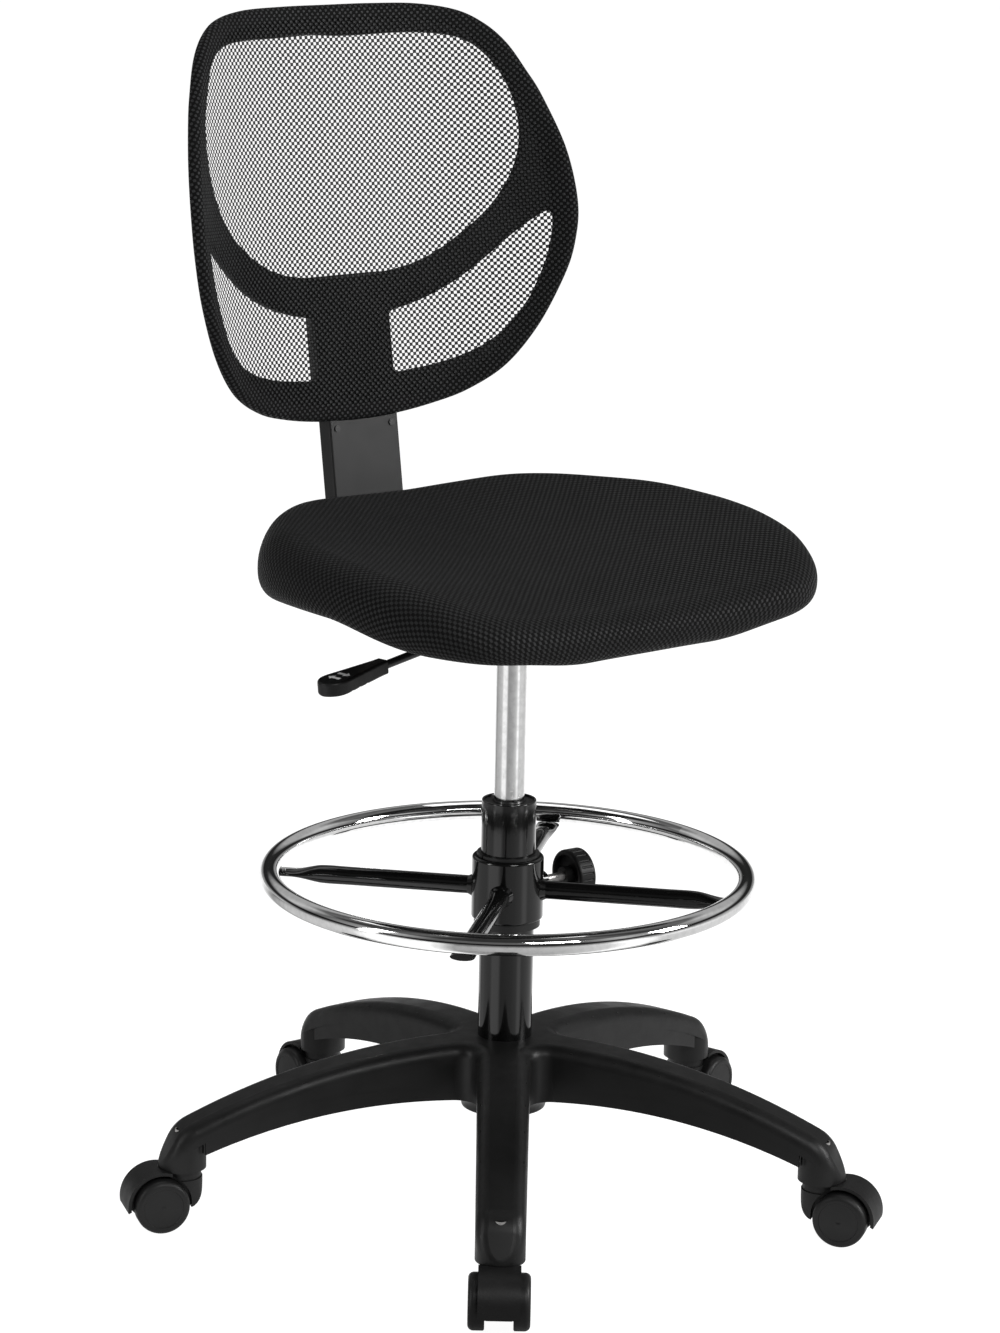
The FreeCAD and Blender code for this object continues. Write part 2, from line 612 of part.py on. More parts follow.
def make_mechanism_plate():
    flange = block(-98, 98, -118, 112, FLANGE_FOOT, FLANGE_TOP)
    flange = flange.makeFillet(24, [e for e in flange.Edges if e.BoundBox.ZLength > 2.9])
    pan = block(-PAN_HALF_X, PAN_HALF_X, PAN_FRONT, PAN_REAR, PAN_FOOT, FLANGE_TOP)
    room = block(-PAN_HALF_X + PAN_WALL, PAN_HALF_X - PAN_WALL, PAN_FRONT + PAN_WALL,
                 PAN_REAR - PAN_WALL, PAN_FOOT + PAN_WALL, FLANGE_TOP + 1)
    corners = [e for e in pan.Edges if e.BoundBox.ZLength > 20]
    room_corners = [e for e in room.Edges if e.BoundBox.ZLength > 20]
    pan = pan.makeFillet(9, corners)
    room = room.makeFillet(6.5, room_corners)
    plate = flange.fuse(pan).cut(room)
    plate = plate.cut(cylinder(20.0, PAN_FOOT - 5, PAN_FOOT + PAN_WALL + 5))
    notch = block(-PAN_HALF_X - 1, -PAN_HALF_X + PAN_WALL + 1, -7, 7, LEVER_PIVOT.z - 10.5, FLANGE_FOOT)
    plate = plate.cut(turned(notch, LEVER_TURN))
    for x, y in all_bolt_places():
        plate = plate.cut(shifted(cylinder(3.3, FLANGE_FOOT - 5, FLANGE_TOP + 5), x, y, 0))
    ears = []
    for side in (-1, 1):
        near, far = sorted((6.2 * side, 8.7 * side))
        ear = block(-58, -PAN_HALF_X + 1.5, near, far, LEVER_PIVOT.z - 9.5, FLANGE_FOOT - 0.2)
        ear = ear.makeFillet(5, [e for e in ear.Edges if e.BoundBox.XMax < -57 and e.BoundBox.YLength > 2])
        ears.append(ear.cut(rod_along(SIDEWAYS, 2.5, -20, 20, LEVER_PIVOT)))
    plate = plate.removeSplitter()
    for ear in ears:
        plate = plate.fuse(turned(ear, LEVER_TURN).cut(room))
    return plate


def bolt_places():
    return [(x, y) for x in (-BOLT_X, BOLT_X) for y in BOLT_YS]


def make_taper_socket():
    foot = TAPER_FOOT - 2
    floor = PAN_FOOT + PAN_WALL
    outer = cylinder(19.5, foot, CYLINDER_TOP - 3).fuse(sleeve(26, 15, floor, floor + 3))
    bore = Part.makeCone(CYLINDER_R + 0.02, TAPER_TOP_R + 0.02, CYLINDER_TOP - TAPER_FOOT,
                         V(0, 0, TAPER_FOOT), UP)
    return outer.cut(bore).cut(cylinder(CYLINDER_R + 0.02, foot - 5, TAPER_FOOT))


def lever_wire():
    """The lever's bent line: straight runs joined by arcs."""
    points = [V(x, 0, z) for x, z in LEVER_PATH]
    edges = []
    start = points[0]
    for i, radius in enumerate(LEVER_BENDS, 1):
        before = (points[i - 1] - points[i]).normalize()
        after = (points[i + 1] - points[i]).normalize()
        half = before.getAngle(after) / 2
        reach = radius / math.tan(half)
        inward = (before + after).normalize()
        centre = points[i] + inward * (radius / math.sin(half))
        first, last = points[i] + before * reach, points[i] + after * reach
        edges.append(line(start, first))
        edges.append(arc(first, centre - inward * radius, last))
        start = last
    edges.append(line(start, points[-1]))
    return Part.Wire(edges)


def lever_sweep(radius):
    path = lever_wire()
    along = path.Edges[0].tangentAt(path.Edges[0].FirstParameter)
    start = V(LEVER_PATH[0][0], 0, LEVER_PATH[0][1])
    profile = Part.Wire(Part.Circle(start, along, radius).toShape())
    return path.makePipeShell([profile], True, True)


def make_lever_rod():
    rod = lever_sweep(LEVER_R)
    rod = rod.fuse(rod_along(SIDEWAYS, 6.4, -5.8, 5.8, LEVER_PIVOT))
    rod = rod.cut(rod_along(SIDEWAYS, 2.5 + FIT, -20, 20, LEVER_PIVOT))
    return turned(rod.removeSplitter(), LEVER_TURN)


def make_lever_pin():
    pin = rod_along(SIDEWAYS, 2.5, -11.5, 11.5, LEVER_PIVOT)
    head = rod_along(SIDEWAYS, 4.2, 8.8, 11.5, LEVER_PIVOT)
    return turned(pin.fuse(head), LEVER_TURN)


def make_lever_grip():
    """A paddle that widens towards its rounded outer end, scalloped underneath."""
    outline = Part.BSplineCurve()
    outline.interpolate([V(38, 6.5, 0), V(16, 9.0, 0), V(-12, 13.0, 0), V(-30, 12.5, 0), V(-39, 0, 0),
                         V(-30, -12.5, 0), V(-12, -13.0, 0), V(16, -9.0, 0), V(38, -6.5, 0)])
    edges = [line(V(38, -6.5, 0), V(38, 6.5, 0)), outline.toShape()]
    face = Part.Face(Part.Wire(edges))
    face.translate(V(0, 0, -6.5))
    grip = face.extrude(V(0, 0, 13))
    rims = [e for e in grip.Edges if e.BoundBox.ZLength < 0.01 and e.BoundBox.XMin < 0]
    grip = grip.makeFillet(2.6, rims)
    for x in (-14, -3, 8):
        grip = grip.cut(rod_along(SIDEWAYS, 5.0, -20, 20, V(x, 0, -10.2)))
    grip.rotate(V(0, 0, 0), SIDEWAYS, -GRIP_DROOP)
    grip.translate(GRIP_MIDDLE)
    grip = grip.cut(lever_sweep(LEVER_R))
    return turned(grip, LEVER_TURN)


# ---------------------------------------------------------------- seat

def seat_wire(scale, z):
    right = [V(x * scale, SEAT_MIDDLE_Y + (y - SEAT_MIDDLE_Y) * scale, z) for x, y in SEAT_OUTLINE]
    left = [V(-p.x, p.y, p.z) for p in reversed(right[1:-1])]
    curve = Part.BSplineCurve()
    curve.interpolate(right + left, PeriodicFlag=True)
    return Part.Wire(curve.toShape())


def seat_slab(scale, low, high):
    return Part.Face(seat_wire(scale, low)).extrude(V(0, 0, high - low))


def make_seat_cushion():
    cushion = seat_slab(1.0, LIP_FOOT, SEAT_TOP)
    slope = math.radians(SEAT_SLOPE)
    along = V(0, math.cos(slope), math.sin(slope))
    dish_middle = V(0, -60, SEAT_MIDDLE_Z + SEAT_DISH_R)
    cushion = cushion.cut(rod_along(along, SEAT_DISH_R, -400, 400, dish_middle))
    top = [e for e in cushion.Edges if e.BoundBox.ZMin > LIP_FOOT + 20 and e.BoundBox.ZLength > 1]
    cushion = cushion.makeFillet(16, top)
    foot = [e for e in cushion.Edges if e.BoundBox.ZMax < LIP_FOOT + 0.01]
    cushion = cushion.makeFillet(14, foot)
    cushion = cushion.cut(block(-300, 300, LIP_REAR, 300, LIP_FOOT - 10, SEAT_FOOT))
    flank = block(0, 200, -300, 300, -100, 0)
    for side in (-1, 1):
        tilted = turned(flank if side > 0 else shifted(flank, -200, 0, 0), -side * FLANK_SLOPE, axis=SIDEWAYS)
        cushion = cushion.cut(shifted(tilted, side * FLANK_START, 0, SEAT_FOOT))
    return cushion.cut(seat_slab(BOARD_INSET + 0.002, SEAT_FOOT - 1, BOARD_TOP + 0.05))


def make_seat_board():
    board = seat_slab(BOARD_INSET, BOARD_FOOT, BOARD_TOP)
    for x, y in all_bolt_places():
        board = board.cut(shifted(cylinder(4.6, BOARD_FOOT - 5, BOARD_TOP + 5), x, y, 0))
        board = board.cut(shifted(cylinder(9.1, BOARD_TOP - 1.2, BOARD_TOP + 5), x, y, 0))
    return board


def all_bolt_places():
    return bolt_places() + [(x, BAR_BOLT_Y) for x in BAR_BOLT_XS]


def make_undercover():
    cover = seat_slab(BOARD_INSET, SEAT_FOOT + 0.2, BOARD_FOOT - 0.1)
    for x, y in all_bolt_places():
        cover = cover.cut(shifted(cylinder(4.6, SEAT_FOOT - 5, SEAT_FOOT + 10), x, y, 0))
    return cover


def make_t_nuts():
    nuts = []
    for x, y in all_bolt_places():
        nut = cylinder(4.5, BOARD_FOOT + 1, BOARD_TOP - 1).fuse(cylinder(9.0, BOARD_TOP - 1.1, BOARD_TOP - 0.1))
        nuts.append(shifted(nut.cut(cylinder(3.02, BOARD_FOOT - 5, BOARD_TOP + 5)), x, y, 0))
    return nuts


def hex_bolt(head_top, shank_top, head_r=5.6):
    """A flange bolt under a plate, shank upwards."""
    corners = [V(head_r * math.cos(math.radians(60 * k)), head_r * math.sin(math.radians(60 * k)), head_top - 6.5)
               for k in range(6)]
    head = polygon(corners).extrude(V(0, 0, 5.2))
    washer = cylinder(8.0, head_top - 1.3, head_top)
    return head.fuse(washer).fuse(cylinder(3.0, head_top - 2, shank_top)).removeSplitter()


def make_seat_bolts():
    return [shifted(hex_bolt(FLANGE_FOOT - 0.05, BOARD_TOP - 3), x, y, 0) for x, y in bolt_places()]


def make_bar_bolts():
    foot = BAR_Z - BAR_T / 2
    return [shifted(hex_bolt(foot - 0.05, BOARD_TOP - 3), x, BAR_BOLT_Y, 0) for x in BAR_BOLT_XS]


# ---------------------------------------------------------------- back
# The back is built upright about its own middle, with its front surface at y = 0, and then leaned back.

def lean_back(shape):
    shape = turned(shape, -RECLINE, V(0, 0, 0), OUTWARD)
    return shifted(shape, 0, BACK_Y, BACK_Z)


def curve_edges(depth):
    """The wrap-round curve of the back seen from above, depth behind its front surface."""
    change = math.asin(CURVE_CHANGE_X / CURVE_MIDDLE_R)
    end = math.radians(CURVE_END)
    middle = V(0, -CURVE_MIDDLE_R, 0)
    spare = CURVE_MIDDLE_R - CURVE_SIDE_R
    centres = {s: middle + V(s * math.sin(change), math.cos(change), 0) * spare for s in (-1, 1)}

    def on(centre, radius, angle):
        return centre + V(math.sin(angle), math.cos(angle), 0) * radius

    side = CURVE_SIDE_R + depth
    wide = CURVE_MIDDLE_R + depth
    half = (change + end) / 2
    return [
        arc(on(centres[-1], side, -end), on(centres[-1], side, -half), on(centres[-1], side, -change)),
        arc(on(middle, wide, -change), V(0, depth, 0), on(middle, wide, change)),
        arc(on(centres[1], side, change), on(centres[1], side, half), on(centres[1], side, end)),
    ]


def curved_slab(near, far, low=-300.0, high=160.0):
    front, rear = curve_edges(near), curve_edges(far)
    left = line(front[0].valueAt(front[0].FirstParameter), rear[0].valueAt(rear[0].FirstParameter))
    right = line(front[-1].valueAt(front[-1].LastParameter), rear[-1].valueAt(rear[-1].LastParameter))
    face = Part.Face(Part.Wire(Part.__sortEdges__(front + [right] + rear + [left])))
    face.translate(V(0, 0, low))
    return face.extrude(V(0, 0, high - low))


def through(wire):
    """A prism straight through the back, front to rear."""
    face = Part.Face(wire)
    face.translate(V(0, -160, 0))
    return face.extrude(V(0, 320, 0))


def mirrored_spline(points, scale=1.0):
    right = [V(x * scale, 0, z * scale) for x, z in points]
    left = [V(-p.x, 0, p.z) for p in reversed(right[1:-1])]
    curve = Part.BSplineCurve()
    curve.interpolate(right + left, PeriodicFlag=True)
    return Part.Wire(curve.toShape())


def lower_window(side):
    curves = []
    for points in (LOWER_WINDOW_TOP, LOWER_WINDOW_SIDE):
        curve = Part.BSplineCurve()
        curve.interpolate([V(side * x, 0, z) for x, z in points])
        curves.append(curve.toShape())
    first, last = LOWER_WINDOW_TOP[0], LOWER_WINDOW_SIDE[-1]
    curves.append(line(V(side * last[0], 0, last[1]), V(side * first[0], 0, first[1])))
    return Part.Wire(curves)


def make_back_frame():
    frame = through(mirrored_spline(BACK_OUTLINE)).cut(through(mirrored_spline(UPPER_WINDOW)))
    for side in (-1, 1):
        frame = frame.cut(through(lower_window(side)))
    near = MESH_T + 0.1
    frame = frame.common(curved_slab(near, near + FRAME_T))
    foot = -251.5
    housing = block(-STEM_HALF, STEM_HALF, near + 4.5, near + STEM_DEPTH, foot, -118)
    edges = [e for e in housing.Edges if e.BoundBox.YMin > near + STEM_DEPTH - 0.1]
    frame = frame.fuse(housing.makeFillet(5, edges))
    slot = block(-BAR_HALF - 0.2, BAR_HALF + 0.2, BAR_LOCAL_Y - BAR_T / 2 - 0.1, BAR_LOCAL_Y + BAR_T / 2 + 0.1,
                 foot - 20, BAR_TOP + 0.2)
    frame = frame.cut(slot)
    for x, z in BACK_BOLTS:
        frame = frame.cut(rod_along(SIDEWAYS, 3.05, BAR_LOCAL_Y, 60, V(x, 0, z)))
        frame = frame.cut(rod_along(SIDEWAYS, 7.5, near + STEM_DEPTH - 5, 60, V(x, 0, z)))
    return lean_back(frame.removeSplitter())


def make_back_bolts():
    bolts = []
    seat = MESH_T + 0.1 + STEM_DEPTH - 5
    for x, z in BACK_BOLTS:
        shank = rod_along(SIDEWAYS, 3.0, BAR_LOCAL_Y - 2, seat + 1, V(x, 0, z))
        head = rod_along(SIDEWAYS, 6.5, seat, seat + 4.2, V(x, 0, z))
        socket = rod_along(SIDEWAYS, 2.3, seat + 1.8, seat + 8, V(x, 0, z))
        bolts.append(lean_back(head.fuse(shank).cut(socket)))
    return bolts


def make_mesh_panel():
    return lean_back(through(mirrored_spline(BACK_OUTLINE)).common(curved_slab(0, MESH_T)))


def make_back_bar():
    """A flat steel bar: level under the seat, bent up, and leaned back into the frame."""
    lean = math.radians(RECLINE)
    rise = V(0, math.sin(lean), math.cos(lean))
    local = V(0, BAR_LOCAL_Y, BAR_TOP)
    top = V(0, local.y * math.cos(lean) + local.z * math.sin(lean) + BACK_Y,
            -local.y * math.sin(lean) + local.z * math.cos(lean) + BACK_Z)
    corner = top - rise * ((top.z - BAR_Z) / rise.z)
    level = V(0, -1, 0)
    half = level.getAngle(rise) / 2
    reach = BAR_BEND_R / math.tan(half)
    inward = (level + rise).normalize()
    centre = corner + inward * (BAR_BEND_R / math.sin(half))
    bend_in, bend_out = corner + level * reach, corner + rise * reach
    start = V(0, 70, BAR_Z)
    path = [line(start, bend_in), arc(bend_in, centre - inward * BAR_BEND_R, bend_out), line(bend_out, top)]
    section = Part.makePolygon([start + V(x, 0, z) for x, z in
                                ((-BAR_HALF, -BAR_T / 2), (BAR_HALF, -BAR_T / 2), (BAR_HALF, BAR_T / 2),
                                 (-BAR_HALF, BAR_T / 2), (-BAR_HALF, -BAR_T / 2))])
    bar = Part.Wire(path).makePipeShell([section], True, True)
    for x in BAR_BOLT_XS:
        bar = bar.cut(shifted(cylinder(3.2, BAR_Z - 10, BAR_Z + 10), x, BAR_BOLT_Y, 0))
    for x, z in BACK_BOLTS:
        bar = bar.cut(lean_back(rod_along(SIDEWAYS, 3.02, 0, 40, V(x, 0, z))))
    return bar


def make_bar_cover():
    top = BACK_OUTLINE[-1][1] + 2.0
    foot = (COVER_FOOT_Z - BACK_Z) / math.cos(math.radians(RECLINE))
    shell = block(-COVER_HALF, COVER_HALF, COVER_NEAR, COVER_NEAR + COVER_DEPTH, foot, top)
    shell = shell.makeFillet(2.2, [e for e in shell.Edges if e.BoundBox.ZLength > 20])
    room = block(-COVER_HALF + COVER_WALL, COVER_HALF - COVER_WALL, COVER_NEAR + COVER_WALL,
                 COVER_NEAR + COVER_DEPTH - COVER_WALL, foot - 1, top - 3)
    slot = block(-BAR_HALF - 0.3, BAR_HALF + 0.3, BAR_LOCAL_Y - BAR_T / 2 - 0.2, BAR_LOCAL_Y + BAR_T / 2 + 0.2,
                 foot - 1, top + 5)
    shell = shell.cut(room).cut(slot).cut(lower_band())
    for x, z in COVER_SCREWS:
        shell = shell.cut(rod_along(SIDEWAYS, 1.6, -5, COVER_NEAR + COVER_WALL + 1, V(x, 0, z)))
    return lean_back(shell)


def lower_band():
    """The lower rim of the frame and its mesh, which the cover stops under."""
    return through(mirrored_spline(BACK_OUTLINE, 1.001))


def make_cover_screws():
    screws = []
    for x, z in COVER_SCREWS:
        head = rod_along(SIDEWAYS, 3.0, COVER_NEAR - 1.2, COVER_NEAR - 0.02, V(x, 0, z))
        shank = rod_along(SIDEWAYS, 1.5, COVER_NEAR - 0.5, COVER_NEAR + 6, V(x, 0, z))
        screws.append(lean_back(head.fuse(shank)))
    return screws


def main():
    os.makedirs("parts", exist_ok=True)
    write("star_base", make_star_base())
    write("caster_sockets", *make_sockets())
    pieces = {
        "stem": make_caster_stem(),
        "hood": make_caster_hood(),
        "axle": make_caster_axle(),
        "wheel_left": make_wheel(1),
        "wheel_right": make_wheel(-1),
    }
    for k in range(LEGS):
        for piece, shape in pieces.items():
            write("caster_%d_%s" % (k + 1, piece), place_at_leg(shape, k))

    write("column_tube", make_column_tube())
    write("guide_bush", make_guide_bush())
    write("thrust_bearing", *make_thrust_bearing())
    write("bump_washer", make_bump_washer())
    write("piston_rod", make_piston_rod())
    write("rod_clip", *make_rod_clip())
    write("gas_cylinder", make_gas_cylinder())
    write("release_pin", make_release_pin())

    write("ring_liner", make_ring_liner())
    write("ring_collar", make_ring_collar())
    write("ring_spokes", *make_spokes())
    write("foot_ring", make_foot_ring())
    write("ring_knob", make_ring_knob())
    write("knob_stud", make_knob_stud())

    write("mechanism_plate", make_mechanism_plate())
    write("taper_socket", make_taper_socket())
    write("lever_rod", make_lever_rod())
    write("lever_grip", make_lever_grip())
    write("lever_pin", make_lever_pin())
    write("seat_board", make_seat_board())
    write("seat_undercover", make_undercover())
    write("seat_t_nuts", *make_t_nuts())
    write("seat_bolts", *make_seat_bolts())
    write("seat_cushion", make_seat_cushion())

    write("back_bar", make_back_bar())
    write("bar_bolts", *make_bar_bolts())
    write("bar_cover", make_bar_cover())
    write("cover_screws", *make_cover_screws())
    write("back_frame", make_back_frame())
    write("back_bolts", *make_back_bolts())
    write("mesh_panel", make_mesh_panel())


main()
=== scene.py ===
import math

import bpy
import numpy as np
from mathutils import Matrix, Vector


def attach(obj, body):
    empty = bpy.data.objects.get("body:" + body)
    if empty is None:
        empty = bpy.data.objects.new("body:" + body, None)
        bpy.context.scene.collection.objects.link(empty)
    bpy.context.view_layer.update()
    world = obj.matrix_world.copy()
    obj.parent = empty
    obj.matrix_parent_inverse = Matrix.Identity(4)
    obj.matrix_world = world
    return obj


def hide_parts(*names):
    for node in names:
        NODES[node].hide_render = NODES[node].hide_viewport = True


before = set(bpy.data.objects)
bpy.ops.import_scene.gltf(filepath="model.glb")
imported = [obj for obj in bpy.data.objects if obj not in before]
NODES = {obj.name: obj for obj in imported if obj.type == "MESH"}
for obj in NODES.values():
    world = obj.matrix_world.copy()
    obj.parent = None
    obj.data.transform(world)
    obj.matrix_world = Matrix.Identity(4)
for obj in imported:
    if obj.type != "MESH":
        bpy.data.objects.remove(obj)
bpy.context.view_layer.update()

# Looks of the drafting chair. Metres, in the CAD frame: the sitter faces -Y and +Z is up.

# Seat outline (right half, front to rear) and the heights of its faces
SEAT_OUTLINE = [(0, -0.202), (0.06, -0.201), (0.122, -0.2), (0.178, -0.195), (0.212, -0.174),
                (0.235, -0.14), (0.25, -0.098), (0.257, -0.045), (0.253, 0.012), (0.238, 0.062),
                (0.206, 0.108), (0.166, 0.15), (0.122, 0.176), (0.06, 0.187), (0, 0.188)]
SEAT_MIDDLE = (0.0, -0.034)
SEAT_TOP_Z = 0.613
SEAT_SLOPE = 0.093          # rise of the top towards the rear
SEAT_SIDE_RISE = 0.027      # at 0.24 m from the middle line
SEAT_FRONT_DROP = 0.012
SEAT_REAR_RISE = 0.010
SEAT_CROWN = 0.004
SEAT_FOOT_Z = 0.563
FOOT_SIDE_RISE = 0.029
FOOT_REAR_RISE = 0.010
FOOT_LIP = 0.011
SEAT_TOP_ROUND = 0.036
SEAT_FOOT_ROUND = 0.032
SEAT_BELLY = 0.46           # height of the widest line, as a share of the edge
SEAT_ROUND_POWER = 0.86     # a little fuller than a circle
BOARD_SHARE = 0.664         # of the outline, where the board is let in
BOARD_DEPTH = 0.0155

# Back outline (right half, top to bottom) in the leaning plane of the back
BACK_OUTLINE = [(0, 0.1305), (0.05, 0.1303), (0.098, 0.128), (0.135, 0.12), (0.158, 0.106), (0.175, 0.086),
                (0.188, 0.059), (0.198, 0.0335), (0.211, -0.016), (0.216, -0.066), (0.213, -0.102),
                (0.204, -0.136), (0.183, -0.181), (0.155, -0.216), (0.12, -0.236), (0.084, -0.2455),
                (0.044, -0.251), (0, -0.253)]
RECLINE = math.radians(8.7)
BACK_PLACE = (0.264, 0.950)
MIDDLE_R = 1.500
SIDE_R = 0.235
CHANGE_X = 0.050
FRAME_REAR = 0.0106
COVER_EDGE_R = 0.005
COVER_PROUD = 0.0010        # how far the cover stands out past the frame's rim
COVER_REAR_GAP = 0.0012
CORE_VOXEL = 0.0024

# Paddle of the lever (the heights above its middle are in millimetres)
PADDLE_MIDDLE = (-0.208, 0.0, 0.5296)
PADDLE_DROOP = 6.5
PADDLE_HALF = 6.5
LEVER_TURN = 8.5

# Studio: brightness of what the chair reflects, by direction round it (0.5 is the front left,
# where the picture is taken from) and by height above the horizon
STUDIO_TURN = 230.0
FLOOR_SECTORS = [(0.0, 0.95), (0.10, 0.90), (0.145, 0.12), (0.19, 0.40), (0.31, 0.45), (0.335, 1.0),
                 (0.41, 1.0), (0.44, 0.14), (0.56, 0.22), (0.62, 0.42), (0.645, 1.0), (0.665, 1.0),
                 (0.69, 0.35), (0.85, 0.5), (0.90, 0.95), (1.0, 0.95)]
WALL_SECTORS = [(0.0, 0.5), (0.10, 0.5), (0.16, 0.7), (0.22, 0.15), (0.34, 0.6), (0.40, 0.15), (0.60, 0.15),
                (0.66, 0.6), (0.74, 0.15), (0.84, 0.7), (0.90, 0.5), (1.0, 0.5)]
WALL_HEIGHTS = [(0.0, 0.9), (0.10, 0.5), (0.17, 0.03), (0.30, 0.04), (0.40, 0.8), (0.62, 0.8), (0.70, 0.2),
                (1.0, 0.25)]

# Knitted mesh: holes in a staggered lattice, and the pitch of the yarn's twist
KNIT_X = 0.0064
KNIT_Y = 0.0060
STRAND = 0.0011

# Camera
CAMERA_PLACE = (-2.3275, -2.7738, 1.373)
CAMERA_HEADING = -39.83
CAMERA_TILT = 90 - 13.48
CAMERA_ROLL = 1.10
CAMERA_LENS = 110.9

# Soft lights: name, place, what it looks at, size, power in watts
LIGHTS = [
    ("key", (-0.9, -3.0, 2.7), (0, 0, 0.6), (1.4, 0.7), 60),
    ("left_strip", (-3.0, 0.7, 1.5), (0, 0, 0.6), (0.5, 2.4), 26),
    ("right_strip", (2.2, -2.6, 1.9), (0, 0, 0.6), (0.9, 1.2), 100),
    ("top", (0.3, 0.8, 3.4), (0, 0, 0.5), (2.2, 2.2), 20),
]


# ---------------------------------------------------------------- curves and meshes

def loop_points(half, count):
    """A smooth closed outline through a mirrored list of points, evenly spaced."""
    right = [np.array(p, float) for p in half]
    left = [np.array((-x, y), float) for x, y in reversed(half[1:-1])]
    knots = right + left
    total = len(knots)
    fine = []
    for i in range(total):
        p0, p1, p2, p3 = (knots[(i + k - 1) % total] for k in range(4))
        for t in np.linspace(0, 1, 24, endpoint=False):
            fine.append(0.5 * (2 * p1 + (p2 - p0) * t + (2 * p0 - 5 * p1 + 4 * p2 - p3) * t ** 2
                               + (3 * p1 - p0 - 3 * p2 + p3) * t ** 3))
    fine = np.array(fine + [fine[0]])
    steps = np.hypot(*np.diff(fine, axis=0).T)
    along = np.concatenate([[0], np.cumsum(steps)])
    wanted = np.linspace(0, along[-1], count, endpoint=False)
    return np.stack([np.interp(wanted, along, fine[:, k]) for k in (0, 1)], 1)


def loop_normals(points):
    """Outward unit normals of a closed outline."""
    tangent = np.roll(points, -1, axis=0) - np.roll(points, 1, axis=0)
    normal = np.stack([tangent[:, 1], -tangent[:, 0]], 1)
    normal /= np.linalg.norm(normal, axis=1)[:, None]
    middle = points.mean(0)
    if ((points - middle) * normal).sum() < 0:
        normal = -normal
    return normal


def smooth_step(value):
    value = np.clip(value, 0, 1)
    return value * value * (3 - 2 * value)


def ring_mesh(name, rings, uvs, body, material, close_end=False):
    """A surface through a list of closed rings, closed at its start, with a UV point for every vertex."""
    count = len(rings[0])
    vertices = np.concatenate(rings)
    flat_uv = np.concatenate(uvs)
    faces = []
    for r in range(len(rings) - 1):
        for k in range(count):
            a, b = r * count + k, r * count + (k + 1) % count
            faces.append((a, b, b + count, a + count))
    for wanted, ring, flip in ((True, 0, True), (close_end, len(rings) - 1, False)):
        if wanted:
            hub = len(vertices)
            vertices = np.concatenate([vertices, rings[ring].mean(0)[None]])
            flat_uv = np.concatenate([flat_uv, uvs[ring].mean(0)[None]])
            for k in range(count):
                a, b = ring * count + k, ring * count + (k + 1) % count
                faces.append((b, a, hub) if flip else (a, b, hub))
    mesh = bpy.data.meshes.new(name)
    mesh.from_pydata(vertices.tolist(), [], faces)
    layer = mesh.uv_layers.new(name="knit")
    corners = np.empty(len(mesh.loops), np.int32)
    mesh.loops.foreach_get("vertex_index", corners)
    layer.data.foreach_set("uv", flat_uv[corners].astype(np.float32).ravel())
    mesh.shade_smooth()
    mesh.validate()
    return place(bpy.data.objects.new(name, mesh), body, material)


def place(piece, body, material):
    bpy.context.scene.collection.objects.link(piece)
    piece.data.materials.append(material)
    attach(piece, body)
    return piece


# ---------------------------------------------------------------- materials

class Nodes:
    """Short names for building a node tree."""

    def __init__(self, name):
        self.material = bpy.data.materials.new(name)
        self.material.use_nodes = True
        self.tree = self.material.node_tree
        self.shader = self.tree.nodes["Principled BSDF"]

    def add(self, kind, **inputs):
        node = self.tree.nodes.new(kind)
        for key, value in inputs.items():
            self.feed(node.inputs[key.replace("_", " ")], value)
        return node

    def feed(self, socket, value):
        if isinstance(value, bpy.types.NodeSocket):
            self.tree.links.new(value, socket)
        else:
            socket.default_value = value

    def math(self, operation, a, b=0.0):
        node = self.tree.nodes.new("ShaderNodeMath")
        node.operation = operation
        for socket, value in zip(node.inputs, (a, b)):
            self.feed(socket, value)
        return node.outputs[0]

    def remap(self, value, low, high, to_low, to_high):
        node = self.tree.nodes.new("ShaderNodeMapRange")
        node.interpolation_type = "SMOOTHSTEP"
        for socket, given in zip(node.inputs, (value, low, high, to_low, to_high)):
            self.feed(socket, given)
        return node.outputs[0]

    def mix(self, share, a, b):
        node = self.tree.nodes.new("ShaderNodeMix")
        node.data_type = "RGBA"
        self.feed(node.inputs[0], share)
        self.feed(node.inputs[6], a)
        self.feed(node.inputs[7], b)
        return node.outputs[2]

    def place(self):
        return self.tree.nodes.new("ShaderNodeTexCoord").outputs["Object"]

    def noise(self, scale, detail=3.0, where=None):
        node = self.add("ShaderNodeTexNoise", Scale=scale, Detail=detail)
        self.feed(node.inputs["Vector"], where or self.place())
        return node.outputs[0]

    def cells(self, scale):
        node = self.add("ShaderNodeTexVoronoi", Scale=scale)
        self.feed(node.inputs["Vector"], self.place())
        return node.outputs["Distance"]

    def bump(self, height, strength, distance):
        node = self.add("ShaderNodeBump", Strength=strength, Distance=distance, Height=height)
        self.feed(self.shader.inputs["Normal"], node.outputs[0])

    def set(self, **inputs):
        for key, value in inputs.items():
            self.feed(self.shader.inputs[key.replace("_", " ")], value)


def grey(level, warm=0.0):
    return (level * (1 + warm), level, level * (1 - warm), 1)


